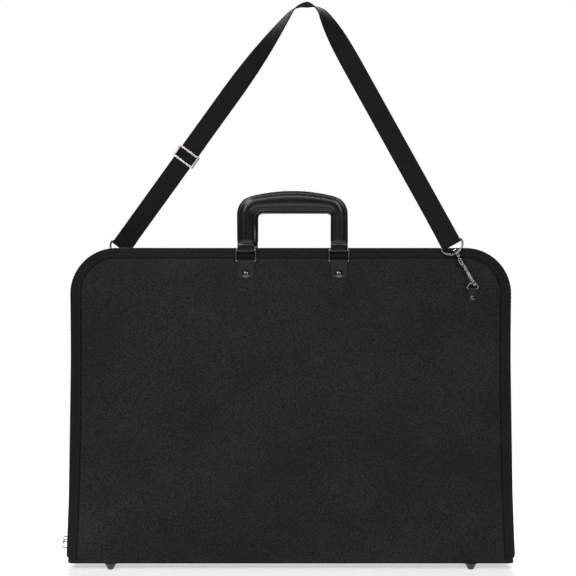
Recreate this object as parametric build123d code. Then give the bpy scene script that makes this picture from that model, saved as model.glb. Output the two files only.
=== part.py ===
from build123d import *
import math
import os

# An A2 art portfolio that stands on its spine. Millimetres, +Z up, front towards -Y,
# with the origin on the standing surface under the middle of the spine.

# ---- driving dimensions ----
SHEET_WIDTH = 594.0  # A2 sheet, held with its long side level
SIDE_MARGIN = 25.0  # from the side of a sheet to the outside of the case, near its top
FLARE = 6.0  # how much wider each side is at the spine than at the top corners
CASE_TOP = 471.5
CORNER_RADIUS = 66.5
LOW_CORNER = 8.0
HALF_DEPTH = 22.0  # half the outside thickness, over the cover skins

FOOT_HEIGHT = 9.5
FOOT_TOP_RADIUS = 9.3
FOOT_TIP_RADIUS = 4.0
FOOT_X = 265.0
FOOT_Y = 13.0
FOOT_RIVET_RADIUS = 1.8
FOOT_RIVET_HEAD = 4.5

SKIN = 1.0
BOARD = 2.4
LINING = 0.6
GUSSET = 1.4
SPINE_SKIN = 1.2
SPINE_BOARD = 3.0
SPINE_LIP_TOP = 15.6
COVER_LOW = 16.0
HINGE_Z = 15.8

BINDING_WIDTH = 14.0
BINDING = 1.0
BINDING_PROUD = 0.9  # how far the binding stands out past the cover's edge
BINDING_SIDE = 6.0  # how far it wraps round on to the side wall

TAPE_OUTER = 5.0  # distances from the middle plane, where the two zip halves meet
CHAIN_OUTER = 2.0
CHAIN_INNER = 0.5
CHAIN_PROUD = 0.8
CHAIN_LOW = 24.0
STOP_LENGTH = 5.0

RIVET_RADIUS = 6.0
RIVET_SHANK = 1.7
RIVET_DOME = 2.6
WASHER_RADIUS = 5.0
WASHER = 0.8

HANDLE_SPREAD = 136.0  # between the middles of a handle's two loops
FRONT_HANDLE_X = 2.4
REAR_HANDLE_X = 6.4
HANDLE_LEAN = 8.0  # degrees outward from upright, as stored
LOOP_WIDTH = 31.5
LOOP_HEIGHT = 20.0
LOOP_WIRE = 1.45
LOOP_AXIS_Z = 452.5
LOOP_AXIS_OUT = HALF_DEPTH + 3.4
TAB_WIDTH = 25.0
TAB_LOW = 427.5
TAB_THICK = 2.4
TAB_RIVET_Z = 434.5
TAB_WRAP = 3.4
TAB_BORE = 1.7

GRIP_HALF = 80.5
GRIP_LEG = 25.0
GRIP_THICK = 15.0
GRIP_TOP = 556.0
GRIP_CROWN = 13.5  # how much lower the bar's ends would be without their rounding
GRIP_UNDER = 527.0
GRIP_LEG_END = 478.0
GRIP_CORNER = 29.0
GRIP_EYE = 4.2
GRIP_EYE_BORE = 1.55
GRIP_EYE_WIDTH = 24.0
GRIP_ROUND = 4.5

STRAP_TAB_X = 265.5
FRONT_TAB_Z = 412.5  # height of the small ring's bar on each cover
REAR_TAB_Z = 405.5
STRAP_TAB_WIDTH = 11.0
STRAP_TAB_THICK = 2.0
STRAP_TAB_WRAP = 3.1
STRAP_TAB_BORE = 1.5
STRAP_TAB_LENGTH = 19.0
STRAP_RIVET_RADIUS = 4.6
STRAP_RIVET_DROP = 12.0
SMALL_RING_WIDTH = 18.0
SMALL_RING_RISE = 9.8  # from its bar's middle line to the top of its bow's
SMALL_WIRE = 1.25
SMALL_RING_CORNER = 2.4
SMALL_RING_LEAN = 28.0

WEB_WIDTH = 29.6
WEB_THICK = 1.8
APEX = (27.0, 860.0)  # where the strap's two straight legs would cross
APEX_RADIUS = 31.0
FRONT_BAR = (233.4, -29.0, 478.0)  # middle of each big ring's straight bar
REAR_BAR = (-256.0, 29.0, 476.0)
BIG_RING_WIDTH = 36.0
BIG_RING_RISE = 15.6
BIG_WIRE = 1.45
BIG_RING_CORNER = 1.9
FOLD_BORE = 1.75
FRONT_FOLD_LENGTH = 48.0
REAR_FOLD_LENGTH = 196.0
FRONT_TWIST = 130.0  # length over which the strap turns flat on each side of its top
REAR_TWIST = 175.0

ADJUSTER_FROM_BAR = 168.0
ADJUSTER_LENGTH = 20.0

EYE_SLACK = 1.0  # from the big ring's wire to the middle of the eye's hole
BILL_SLACK = 1.1  # from the middle of the bill's hole to the small ring's wire
EYE_BORE = 5.0
EYE_RADIUS = 6.9
HOOK_THICK = 4.4
POST_RADIUS = 1.6
POST_HEAD = 2.4
COLLAR_RADIUS = 4.0
BILL_BORE = 5.3
BILL_RADIUS = 7.1
GATE_THICK = 2.2

SLIDER_Z = 40.5
PULL_RADIUS = 6.5
PULL_WIRE = 0.75
PULL_TURN = 30.0
PULL_OUT = -6.2

# ---- sizes worked out from them ----
CASE_HALF = SHEET_WIDTH / 2 + SIDE_MARGIN
SPINE_HALF = CASE_HALF + FLARE
SIDE_TOP = CASE_TOP - CORNER_RADIUS
FACE = -HALF_DEPTH
BOARD_OUT = FACE + SKIN
LINING_OUT = BOARD_OUT + BOARD
INSIDE = LINING_OUT + LINING
FOLD_RADIUS = FOLD_BORE + WEB_THICK
FOLD_OFFSET = FOLD_BORE + WEB_THICK / 2


def save(name, *solids):
    """Writes one node, a single solid or a group of alike ones."""
    shape = solids[0] if len(solids) == 1 else Compound(list(solids))
    export_step(shape, f"parts/{name}.step")


def turned(solid):
    """The same piece on the other cover, half a turn about the vertical middle line."""
    return Rot(0, 0, 180) * solid


def bar(start, end, radius):
    """A round bar from one point to another."""
    run = Vector(*end) - Vector(*start)
    plane = Plane(origin=start, z_dir=run)
    return extrude(plane * Circle(radius), run.length)


def block(low, high):
    """A box between two corners."""
    size = [h - l for l, h in zip(low, high)]
    middle = [(h + l) / 2 for l, h in zip(low, high)]
    return Pos(*middle) * Box(*size)


# ---- covers ----


def cover_outline(inset):
    """The cover's outline, moved in by inset at the sides and the top but not at the hinge."""
    half = CASE_HALF - inset
    foot = SPINE_HALF - inset
    top = CASE_TOP - inset
    corner = CORNER_RADIUS - inset
    right = [(foot, COVER_LOW), (half, SIDE_TOP)]
    low = Line((-foot, COVER_LOW), right[0])
    side = Line(right[0], right[1])
    bend = RadiusArc(right[1], (half - corner, top), -corner)
    lid = Line((half - corner, top), (corner - half, top))
    other_bend = RadiusArc((corner - half, top), (-half, SIDE_TOP), -corner)
    other_side = Line((-half, SIDE_TOP), (-foot, COVER_LOW))
    outline = make_face([low, side, bend, lid, other_bend, other_side])
    lowest = outline.vertices().sort_by(Axis.Y)[:2]
    return fillet(lowest, max(LOW_CORNER - inset, 1.0))


def slab(outline, outer, inner):
    """An outline drawn in X and Z, as a sheet between two depths."""
    return extrude(Plane.XZ.offset(-inner) * outline, inner - outer)


def hoop(outer_inset, inner_inset, outer, inner):
    """A band round the sides and the top, between two insets and two depths."""
    whole = slab(cover_outline(outer_inset), outer, inner)
    return whole - slab(cover_outline(inner_inset), outer - 1, inner + 1)


def above(height):
    """Everything in the case that is higher than this."""
    return block((-400, -60, height), (400, 60, 520))


def tab(x, width, thick, low, axis_z, wrap, bore):
    """A strip on the front face whose top end wraps round a ring's bar."""
    axis_y = FACE - wrap
    left = x - width / 2
    right = x + width / 2
    strip = block((left, FACE - thick, low), (right, FACE, axis_z))
    roll = bar((left, axis_y, axis_z), (right, axis_y, axis_z), wrap)
    hole = bar((left - 1, axis_y, axis_z), (right + 1, axis_y, axis_z), bore)
    return strip + roll - hole


def rivet(x, z, radius, under_head):
    """A domed rivet through the cover, with its shank and the washer inside."""
    dome_sphere = (radius**2 + RIVET_DOME**2) / (2 * RIVET_DOME)
    centre = Pos(x, under_head - RIVET_DOME + dome_sphere, z)
    dome = centre * Sphere(dome_sphere)
    dome = dome & block((x - 9, under_head - 9, z - 9), (x + 9, under_head, z + 9))
    shank = bar((x, under_head, z), (x, INSIDE, z), RIVET_SHANK)
    washer = bar((x, INSIDE, z), (x, INSIDE + WASHER, z), WASHER_RADIUS)
    return dome + shank + washer


def zip_stop(side):
    """The metal crimp at the foot of a zip chain."""
    x = side * (SPINE_HALF - CHAIN_PROUD)
    low = (x - 1.6, -CHAIN_OUTER - 1, CHAIN_LOW - STOP_LENGTH)
    return block(low, (x + 1.6, -CHAIN_INNER, CHAIN_LOW)) & slab(
        cover_outline(-CHAIN_PROUD), -CHAIN_OUTER, -CHAIN_INNER
    )


def make_cover(prefix, place, handle_x, tab_z):
    """One cover with all that is sewn and riveted to it, made as the front one and placed."""
    loops_x = [handle_x - HANDLE_SPREAD / 2, handle_x + HANDLE_SPREAD / 2]
    under_head = FACE - TAB_THICK
    handle_rivets = [rivet(x, TAB_RIVET_Z, RIVET_RADIUS, under_head) for x in loops_x]
    strap_rivet_z = tab_z - STRAP_RIVET_DROP
    strap_rivet = rivet(STRAP_TAB_X, strap_rivet_z, STRAP_RIVET_RADIUS, FACE - STRAP_TAB_THICK)
    holes = handle_rivets + [strap_rivet]

    skin = slab(cover_outline(0), FACE, BOARD_OUT)
    board = slab(cover_outline(GUSSET), BOARD_OUT, LINING_OUT)
    lining = slab(cover_outline(GUSSET), LINING_OUT, INSIDE)
    handle_tabs = []
    for x in loops_x:
        piece = tab(x, TAB_WIDTH, TAB_THICK, TAB_LOW, LOOP_AXIS_Z, TAB_WRAP, TAB_BORE)
        handle_tabs.append(piece)
    strap_tab = tab(
        STRAP_TAB_X,
        STRAP_TAB_WIDTH,
        STRAP_TAB_THICK,
        tab_z - STRAP_TAB_LENGTH,
        tab_z,
        STRAP_TAB_WRAP,
        STRAP_TAB_BORE,
    )
    for hole in holes:
        skin -= hole
        board -= hole
        lining -= hole
        strap_tab -= hole
        handle_tabs = [piece - hole for piece in handle_tabs]

    face_band = hoop(0, BINDING_WIDTH, FACE - BINDING, FACE)
    edge_band = hoop(-BINDING_PROUD, 0, FACE - BINDING, FACE + BINDING_SIDE)
    gusset = hoop(0, GUSSET, BOARD_OUT, -TAPE_OUTER)
    tape = hoop(0.3, 1.1, -TAPE_OUTER, -CHAIN_OUTER)
    chain = hoop(-CHAIN_PROUD, 2.0, -CHAIN_OUTER, -CHAIN_INNER) & above(CHAIN_LOW)

    save(f"{prefix}_cover_skin", place(skin))
    save(f"{prefix}_cover_board", place(board))
    save(f"{prefix}_cover_lining", place(lining))
    save(f"{prefix}_cover_binding", place(face_band + edge_band))
    save(f"{prefix}_gusset_wall", place(gusset))
    save(f"{prefix}_zip_tape", place(tape))
    save(f"{prefix}_zip_chain", place(chain))
    save(f"{prefix}_zip_stops", *[place(zip_stop(side)) for side in (-1, 1)])
    save(f"{prefix}_handle_tabs", *[place(piece) for piece in handle_tabs])
    save(f"{prefix}_handle_rivets", *[place(piece) for piece in handle_rivets])
    save(f"{prefix}_strap_tab", place(strap_tab))
    save(f"{prefix}_strap_rivet", place(strap_rivet))


# ---- spine and feet ----


def spine_tray(half_x, half_y, low, high, corner):
    """A plate with rounded corners in plan."""
    plan = RectangleRounded(2 * half_x, 2 * half_y, corner)
    return extrude(Plane.XY.offset(low) * plan, high - low)


def foot_rivet(x, y, lining_top):
    """The rivet that holds a foot, from inside the foot to its head on the lining."""
    shank = bar((x, y, FOOT_HEIGHT / 2), (x, y, lining_top), FOOT_RIVET_RADIUS)
    head = bar((x, y, lining_top), (x, y, lining_top + WASHER), FOOT_RIVET_HEAD)
    return shank + head


def make_spine():
    """The spine under both covers, with its four feet."""
    board_low = FOOT_HEIGHT + SPINE_SKIN
    board_top = board_low + SPINE_BOARD
    lining_top = board_top + LINING
    inner_x = SPINE_HALF - SPINE_SKIN
    inner_y = HALF_DEPTH - SPINE_SKIN
    skin = spine_tray(SPINE_HALF, HALF_DEPTH, FOOT_HEIGHT, SPINE_LIP_TOP, LOW_CORNER)
    inner_corner = LOW_CORNER - SPINE_SKIN
    skin -= spine_tray(inner_x, inner_y, board_low, SPINE_LIP_TOP + 1, inner_corner)
    board = spine_tray(inner_x, inner_y, board_low, board_top, inner_corner)
    lining = spine_tray(inner_x, inner_y, board_top, lining_top, inner_corner)
    feet = []
    rivets = []
    for x in (-FOOT_X, FOOT_X):
        for y in (-FOOT_Y, FOOT_Y):
            held = foot_rivet(x, y, lining_top)
            cone = Pos(x, y, FOOT_HEIGHT / 2) * Cone(FOOT_TIP_RADIUS, FOOT_TOP_RADIUS, FOOT_HEIGHT)
            feet.append(cone - held)
            rivets.append(held)
            skin -= held
            board -= held
            lining -= held
    save("spine_skin", skin)
    save("spine_board", board)
    save("spine_lining", lining)
    save("feet", *feet)
    save("foot_rivets", *rivets)


# ---- handles ----


def wire_loop(width, height, wire):
    """A rectangular wire ring in the XZ plane, with its lower bar's middle line on the X axis."""
    path = RectangleRounded(width - 2 * wire, height - 2 * wire, 2.6)
    path = Plane.XZ * Pos(0, height / 2 - wire) * path
    start = Plane(origin=(0, 0, 0), z_dir=(1, 0, 0))
    return sweep(start * Circle(wire), path=path.wire())


def grip():
    """The moulded grip, drawn upright, with the loops' upper bars through its two eyes."""
    inner = GRIP_HALF - GRIP_LEG
    crown_radius = (GRIP_HALF**2 + GRIP_CROWN**2) / (2 * GRIP_CROWN)
    ends = [(-GRIP_HALF, GRIP_TOP - GRIP_CROWN), (GRIP_HALF, GRIP_TOP - GRIP_CROWN)]
    crown = RadiusArc(ends[0], ends[1], crown_radius)
    corners = [ends[1], (GRIP_HALF, GRIP_LEG_END), (inner, GRIP_LEG_END), (inner, GRIP_UNDER)]
    corners += [(-inner, GRIP_UNDER), (-inner, GRIP_LEG_END), (-GRIP_HALF, GRIP_LEG_END), ends[0]]
    outline = make_face([crown, Polyline(*corners)])
    shoulders = [v for v in outline.vertices() if v.Y > GRIP_UNDER + 1]
    outline = fillet(shoulders, GRIP_CORNER)
    inner_corners = [v for v in outline.vertices() if abs(v.Y - GRIP_UNDER) < 0.01]
    outline = fillet(inner_corners, 7.0)
    body = extrude(Plane.XZ.offset(-GRIP_THICK / 2) * outline, GRIP_THICK)
    faces = body.faces().sort_by(Axis.Y)
    body = fillet(faces[0].edges() + faces[-1].edges(), GRIP_ROUND)
    eye_z = LOOP_AXIS_Z + LOOP_HEIGHT - 2 * LOOP_WIRE
    half = GRIP_EYE_WIDTH / 2
    for x in (-HANDLE_SPREAD / 2, HANDLE_SPREAD / 2):
        web_low = (x - half + 1, -GRIP_EYE, eye_z)
        body += block(web_low, (x + half - 1, GRIP_EYE, GRIP_LEG_END + GRIP_ROUND))
        body += bar((x - half, 0, eye_z), (x + half, 0, eye_z), GRIP_EYE)
        body -= bar((x - half - 1, 0, eye_z), (x + half + 1, 0, eye_z), GRIP_EYE_BORE)
    return body


def make_handle(prefix, place, handle_x):
    """A grip on two loops, leaning outward about the loops' lower bars."""
    lean = Pos(handle_x, -LOOP_AXIS_OUT, LOOP_AXIS_Z) * Rot(HANDLE_LEAN, 0, 0)
    loop = wire_loop(LOOP_WIDTH, LOOP_HEIGHT, LOOP_WIRE)
    loops = [lean * Pos(x, 0, 0) * loop for x in (-HANDLE_SPREAD / 2, HANDLE_SPREAD / 2)]
    save(f"{prefix}_handle_loops", *[place(piece) for piece in loops])
    save(f"{prefix}_handle_grip", place(lean * Pos(0, 0, -LOOP_AXIS_Z) * grip()))


# ---- small rings, hooks ----


def d_ring(width, rise, wire, corner):
    """A D-shaped wire ring in the XZ plane: straight bar along X at the origin, bow upward."""
    half = width / 2 - wire
    base = Line((0, 0), (half - corner, 0))
    bend = RadiusArc((half - corner, 0), (half, corner), -corner)
    bow = EllipticalCenterArc((0, corner), half, rise - corner, start_angle=0, arc_size=90)
    path = Plane.XZ * Wire([base.edge(), bend.edge(), bow.edge()])
    start = Plane(origin=(0, 0, 0), z_dir=(1, 0, 0))
    right = sweep(start * Circle(wire), path=path)
    return right + mirror(right, about=Plane.YZ)


def small_ring_top(tab_z):
    """The top of the small ring's bow on the front cover, as it stands."""
    lean = math.radians(SMALL_RING_LEAN)
    out = FACE - STRAP_TAB_WRAP - SMALL_RING_RISE * math.sin(lean)
    return Vector(STRAP_TAB_X, out, tab_z + SMALL_RING_RISE * math.cos(lean))


def make_small_ring(prefix, place, tab_z):
    """The small ring in the strap tab, its bow leaning out to the hook."""
    ring = d_ring(SMALL_RING_WIDTH, SMALL_RING_RISE, SMALL_WIRE, SMALL_RING_CORNER)
    stand = Pos(STRAP_TAB_X, FACE - STRAP_TAB_WRAP, tab_z) * Rot(SMALL_RING_LEAN, 0, 0)
    save(f"{prefix}_small_ring", place(stand * ring))


def swivel_eye():
    """The hook's eye and headed post, in hook coordinates: X down the hook, Z across it."""
    eye = extrude(Circle(EYE_RADIUS), HOOK_THICK / 2, both=True)
    eye -= extrude(Circle(EYE_BORE), HOOK_THICK, both=True)
    post = bar((EYE_RADIUS - 0.6, 0, 0), (15.2, 0, 0), POST_RADIUS)
    return eye + post + bar((13.8, 0, 0), (15.2, 0, 0), POST_HEAD)


def snap_body(reach):
    """The hook itself: a collar on the post, a spine and a round bill, open on the outer side."""
    bill = reach - EYE_SLACK - BILL_SLACK
    collar = bar((8.4, 0, 0), (18.0, 0, 0), COLLAR_RADIUS)
    head = block((17.0, -BILL_RADIUS, -HOOK_THICK / 2), (24.5, 1.6, HOOK_THICK / 2))
    spine = block((17.0, -BILL_RADIUS, -HOOK_THICK / 2), (bill, -BILL_BORE, HOOK_THICK / 2))
    ring = Pos(bill, 0, 0) * extrude(Circle(BILL_RADIUS), HOOK_THICK / 2, both=True)
    ring &= block((bill, -9, -9), (bill + 9, 9, 9))
    tip = block((bill - 3.0, BILL_BORE, -HOOK_THICK / 2), (bill, BILL_RADIUS, HOOK_THICK / 2))
    solid = collar + head + spine + ring + tip
    solid -= Pos(bill, 0, 0) * extrude(Circle(BILL_BORE), HOOK_THICK, both=True)
    solid -= bar((8.0, 0, 0), (14.0, 0, 0), POST_RADIUS + 0.1)
    solid -= bar((13.6, 0, 0), (15.5, 0, 0), POST_HEAD + 0.15)
    return solid


def snap_gate(reach):
    """The sprung gate, from its knuckle beside the hook's head down to the bill's tip."""
    bill = reach - EYE_SLACK - BILL_SLACK
    half = HOOK_THICK / 2 - 0.4
    knuckle = bar((21.5, 4.0, -half), (21.5, 4.0, half), 2.1)
    arm = block((21.5, 4.0 - GATE_THICK / 2, -half), (bill - 3.3, 4.0 + GATE_THICK / 2, half))
    return knuckle + arm


def hook_plane(start, end, out):
    """A hook's own frame: X from the big ring's wire to the small ring's, Y away from the case."""
    down = (end - start).normalized()
    across = down.cross(out)
    return Plane(origin=start + down * EYE_SLACK, x_dir=down, z_dir=across)


def make_hook(prefix, big_wire, small_wire, out):
    """A swivel snap hook between a big ring and a small one."""
    reach = (small_wire - big_wire).length
    place = hook_plane(big_wire, small_wire, out).location
    save(f"{prefix}_hook_eye", place * swivel_eye())
    save(f"{prefix}_hook_body", place * snap_body(reach))
    save(f"{prefix}_hook_gate", place * snap_gate(reach))
    knuckle = (place * Pos(21.5, 4.0, 0)).position
    print(prefix, "hook from", big_wire, "to", small_wire, "reach", round(reach, 2))
    print(prefix, "gate axis at", knuckle)


# ---- strap ----


def strap_plan():
    """The strap drawn in X and Z: the place of its top corner, each leg's direction and length."""
    apex = Vector(APEX[0], 0, APEX[1])
    legs = [Vector(end[0], 0, end[2]) - apex for end in (FRONT_BAR, REAR_BAR)]
    turn = math.pi - math.radians(legs[0].get_angle(legs[1]))
    tangent = APEX_RADIUS * math.tan(turn / 2)
    directions = [leg.normalized() for leg in legs]
    runs = [leg.length - tangent for leg in legs]
    total = runs[0] + APEX_RADIUS * turn + runs[1]
    return apex, directions, runs, tangent, turn, total


def leg_frame(end_bar):
    """A strap leg's direction from its ring to the top, and its outward and front normals."""
    apex, directions, runs, tangent, turn, total = strap_plan()
    side = 1 if end_bar[0] > 0 else -1
    down = directions[0] if side > 0 else directions[1]
    crossing = side * (REAR_BAR[1] - FRONT_BAR[1]) / total
    rise = Vector(-down.X, crossing, -down.Z).normalized()
    out = Vector(-side * down.Z, 0, side * down.X)
    front = out.cross(rise) * side
    return rise, out, front


def strap_route():
    """Middle line of the webbing from the front end to the rear: place, direction, outward, twist."""
    apex, directions, runs, tangent, turn, total = strap_plan()
    arc = APEX_RADIUS * turn
    heart = apex + (directions[0] + directions[1]).normalized() * (
        APEX_RADIUS / math.cos(turn / 2)
    )
    top = runs[0] + arc / 2
    steps = [0.0, runs[0] * 0.5]
    steps += [top - FRONT_TWIST + i * FRONT_TWIST / 9 for i in range(9)]
    steps += [top + i * REAR_TWIST / 11 for i in range(12)]
    steps += [total - runs[1] * 0.45, total]
    front_y = FRONT_BAR[1] - FOLD_OFFSET
    rear_y = REAR_BAR[1] - FOLD_OFFSET
    route = []
    for s in steps:
        if s <= runs[0]:
            place = apex + directions[0] * (tangent + runs[0] - s)
            heading = directions[0] * -1
        elif s >= runs[0] + arc:
            place = apex + directions[1] * (tangent + s - runs[0] - arc)
            heading = directions[1]
        else:
            spoke = apex + directions[0] * tangent - heart
            spoke = spoke.rotate(Axis.Y, -math.degrees((s - runs[0]) / APEX_RADIUS))
            place = heart + spoke
            heading = Vector(-spoke.Z, 0, spoke.X).normalized()
        outward = Vector(heading.Z, 0, -heading.X)
        share = s / total
        place = Vector(place.X, front_y * (1 - share) + rear_y * share, place.Z)
        if s < top:
            twist = 90 * max(0.0, 1 - (top - s) / FRONT_TWIST) ** 2
        else:
            twist = 90 * max(0.0, 1 - (s - top) / REAR_TWIST) ** 1.25
        route.append((place, heading, outward, math.radians(twist)))
    return route, total


def ribbon(sections):
    """A closed solid through four-cornered sections, with flat three-sided faces between them."""
    faces = []
    for near, far in zip(sections, sections[1:]):
        for i in range(4):
            j = (i + 1) % 4
            faces.append(Face(Wire.make_polygon([near[i], near[j], far[j]])))
            faces.append(Face(Wire.make_polygon([near[i], far[j], far[i]])))
    faces.append(Face(Wire.make_polygon(sections[0])))
    faces.append(Face(Wire.make_polygon(sections[-1])))
    return Solid(Shell(faces))


def webbing():
    """The strap's webbing, flat to the front on its legs and turned on edge over its top."""
    route, total = strap_route()
    print("strap webbing along its middle line", round(total, 1))
    sections = []
    for place, heading, outward, twist in route:
        wide = outward * math.cos(twist) + Vector(0, 1, 0) * math.sin(twist)
        thin = heading.cross(wide)
        a = wide * (WEB_WIDTH / 2)
        b = thin * (WEB_THICK / 2)
        sections.append([place + a + b, place - a + b, place - a - b, place + a - b])
    return ribbon(sections)


def fold(end_bar, length):
    """The end of the webbing: round the ring's bar and back up behind the strap."""
    rise, out, front = leg_frame(end_bar)
    plane = Plane(origin=end_bar, x_dir=rise, z_dir=rise.cross(front))
    roll = extrude(plane * Circle(FOLD_RADIUS), WEB_WIDTH / 2, both=True)
    roll -= extrude(plane * Circle(FOLD_BORE), WEB_WIDTH, both=True)
    behind = plane.location * block((-9, -9, -30), (-0.15, 9, 30))
    roll &= behind
    flat = FOLD_OFFSET - WEB_THICK - 0.2
    inner = -FOLD_BORE
    outer = -FOLD_RADIUS
    settled = flat - WEB_THICK / 2
    corners = [(-0.15, inner), (-0.15, outer), (30, settled), (length, settled)]
    corners += [(length, settled + WEB_THICK), (30, settled + WEB_THICK)]
    strip = extrude(plane * make_face(Polyline(*corners, close=True)), WEB_WIDTH / 2, both=True)
    return roll + strip


def big_ring(end_bar):
    """The D ring at one end of the strap, its bow hanging below its bar."""
    rise, out, front = leg_frame(end_bar)
    ring = d_ring(BIG_RING_WIDTH, BIG_RING_RISE, BIG_WIRE, BIG_RING_CORNER)
    plane = Plane(origin=end_bar, x_dir=out, z_dir=rise * -1)
    return plane.location * ring


def bow_middle(end_bar):
    """The middle of the big ring's bow, where the hook's eye holds it."""
    rise, out, front = leg_frame(end_bar)
    return Vector(*end_bar) - rise * BIG_RING_RISE


def adjuster():
    """The three-bar slide on the rear leg: two end bars in front, one middle bar behind."""
    rise, out, front = leg_frame(REAR_BAR)
    origin = Vector(*REAR_BAR) + front * FOLD_OFFSET + rise * ADJUSTER_FROM_BAR
    plane = Plane(origin=origin, x_dir=rise, z_dir=rise.cross(front))
    half = ADJUSTER_LENGTH / 2
    inside = WEB_WIDTH / 2 + 0.4
    outside = inside + 2.4
    back = -WEB_THICK * 1.5 - 0.5
    frame = block((-1.6, back - 2.0, -outside), (1.6, back, outside))
    for side in (-1, 1):
        x = side * (half - 1.4)
        frame += block((x - 1.4, 1.2, -outside), (x + 1.4, 3.4, outside))
        low = min(side * inside, side * outside)
        frame += block((-half, back - 2.0, low), (half, 3.4, low + 2.4))
    return plane.location * frame


def make_strap():
    """The shoulder strap with its rings and its adjuster."""
    save("strap_webbing", webbing())
    save("strap_front_fold", fold(FRONT_BAR, FRONT_FOLD_LENGTH))
    save("strap_rear_fold", fold(REAR_BAR, REAR_FOLD_LENGTH))
    save("strap_front_ring", big_ring(FRONT_BAR))
    save("strap_rear_ring", big_ring(REAR_BAR))
    save("strap_adjuster", adjuster())


# ---- zip slider ----


def slider_place():
    """Where the slider stands on the left side, and how far the side leans there."""
    slope = FLARE / (SIDE_TOP - COVER_LOW)
    x = -(SPINE_HALF - slope * (SLIDER_Z - COVER_LOW))
    return Pos(x, 0, SLIDER_Z) * Rot(0, math.degrees(math.atan(slope)), 0)


def zip_slider():
    """Outer and inner plates on a thin pillar between the chains, with a bail for the pull."""
    outer = block((-3.4, -3.2, -8), (-1.4, 3.2, 8))
    outer = fillet(outer.edges().filter_by(Axis.X), 2.5)
    inner = block((2.6, -4, -7), (4.0, 4, 7))
    inner = fillet(inner.edges().filter_by(Axis.X), 2.5)
    pillar = block((-1.4, -0.35, -5), (2.6, 0.35, 5))
    bail = block((-9.8, -1.0, -4.8), (-3.4, 1.0, 4.8))
    bail -= block((-8.6, -2, -3.4), (-3.4, 2, 3.4))
    return outer + inner + pillar + bail


def pull_ring():
    """The round wire pull that hangs in the slider's bail."""
    ring = Rot(0, 90, 0) * Torus(PULL_RADIUS, PULL_WIRE)
    return Pos(PULL_OUT, 0, 0) * Rot(0, 0, -PULL_TURN) * Pos(0, 0, -PULL_RADIUS) * ring


def make_zip_slider():
    """The slider and its pull, at the foot of the left side, where the zip is closed."""
    place = slider_place()
    save("zip_slider", place * zip_slider())
    save("zip_pull", place * pull_ring())
    print("pull axis at", (place * Pos(PULL_OUT, 0, 0)).position)


def main():
    os.makedirs("parts", exist_ok=True)
    make_spine()

    def as_made(solid):
        return solid

    make_cover("front", as_made, FRONT_HANDLE_X, FRONT_TAB_Z)
    make_cover("rear", turned, -REAR_HANDLE_X, REAR_TAB_Z)
    make_handle("front", as_made, FRONT_HANDLE_X)
    make_handle("rear", turned, -REAR_HANDLE_X)
    make_small_ring("front", as_made, FRONT_TAB_Z)
    make_small_ring("rear", turned, REAR_TAB_Z)
    make_strap()
    front_top = small_ring_top(FRONT_TAB_Z)
    rear_top = small_ring_top(REAR_TAB_Z)
    rear_top = Vector(-rear_top.X, -rear_top.Y, rear_top.Z)
    make_hook("front", bow_middle(FRONT_BAR), front_top, Vector(0, -1, 0))
    make_hook("rear", bow_middle(REAR_BAR), rear_top, Vector(0, 1, 0))
    make_zip_slider()


main()
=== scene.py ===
import bmesh
import bpy
import math
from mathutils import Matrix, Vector


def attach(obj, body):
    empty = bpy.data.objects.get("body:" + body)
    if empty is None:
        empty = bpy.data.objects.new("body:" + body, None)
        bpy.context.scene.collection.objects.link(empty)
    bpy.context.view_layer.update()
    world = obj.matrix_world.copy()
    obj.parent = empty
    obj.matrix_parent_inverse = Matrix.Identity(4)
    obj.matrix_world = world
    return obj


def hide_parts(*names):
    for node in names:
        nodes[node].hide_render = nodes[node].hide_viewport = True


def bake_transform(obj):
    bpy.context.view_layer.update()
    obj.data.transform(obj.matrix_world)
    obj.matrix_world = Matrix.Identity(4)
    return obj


# A portfolio case on its spine. Sizes below are in millimetres, as in the CAD source.

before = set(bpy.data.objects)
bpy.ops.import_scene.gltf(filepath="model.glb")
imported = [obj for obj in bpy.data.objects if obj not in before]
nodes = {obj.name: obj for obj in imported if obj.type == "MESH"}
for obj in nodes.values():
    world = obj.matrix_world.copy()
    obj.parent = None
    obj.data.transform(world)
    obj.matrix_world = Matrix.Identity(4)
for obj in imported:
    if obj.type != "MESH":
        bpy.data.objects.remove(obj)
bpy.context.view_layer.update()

MM = 0.001
LOW = 16.0
SIDE_TOP = 405.0
CASE_TOP = 471.5
CORNER = 66.5
HALF_TOP = 322.0
HALF_LOW = 328.0
WAIST = 3.0
FACE = 22.0
BAND = 14.0
STITCH = 5.6
LOOP_AXIS = (25.4, 452.5)
LEAN = math.radians(8)
LOOP_SPREAD = 68.0
HANDLE_X = {"front": 2.4, "rear": -6.4}
RING_BAR_Z = {"front": 412.5, "rear": 405.5}
SIDES = {"front": 1, "rear": -1}


# ---- materials ----


def start_material(name, rough=0.5, metal=0.0, specular=0.5):
    """A node material with its shader's own constants set, and the tree and the shader."""
    material = bpy.data.materials.new(name)
    material.use_nodes = True
    tree = material.node_tree
    shader = tree.nodes["Principled BSDF"]
    shader.inputs["Roughness"].default_value = rough
    shader.inputs["Metallic"].default_value = metal
    shader.inputs["Specular IOR Level"].default_value = specular
    return material, tree, shader


def node(tree, kind, settings=None, **inputs):
    """A node with its properties and its inputs; an input is a value or another node's socket."""
    made = tree.nodes.new(kind)
    for key, value in (settings or {}).items():
        setattr(made, key, value)
    for key, value in inputs.items():
        socket = made.inputs[int(key[1:])] if key[0] == "i" and key[1:].isdigit() else made.inputs[key]
        if isinstance(value, bpy.types.NodeSocket):
            tree.links.new(value, socket)
        else:
            socket.default_value = value
    return made


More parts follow.
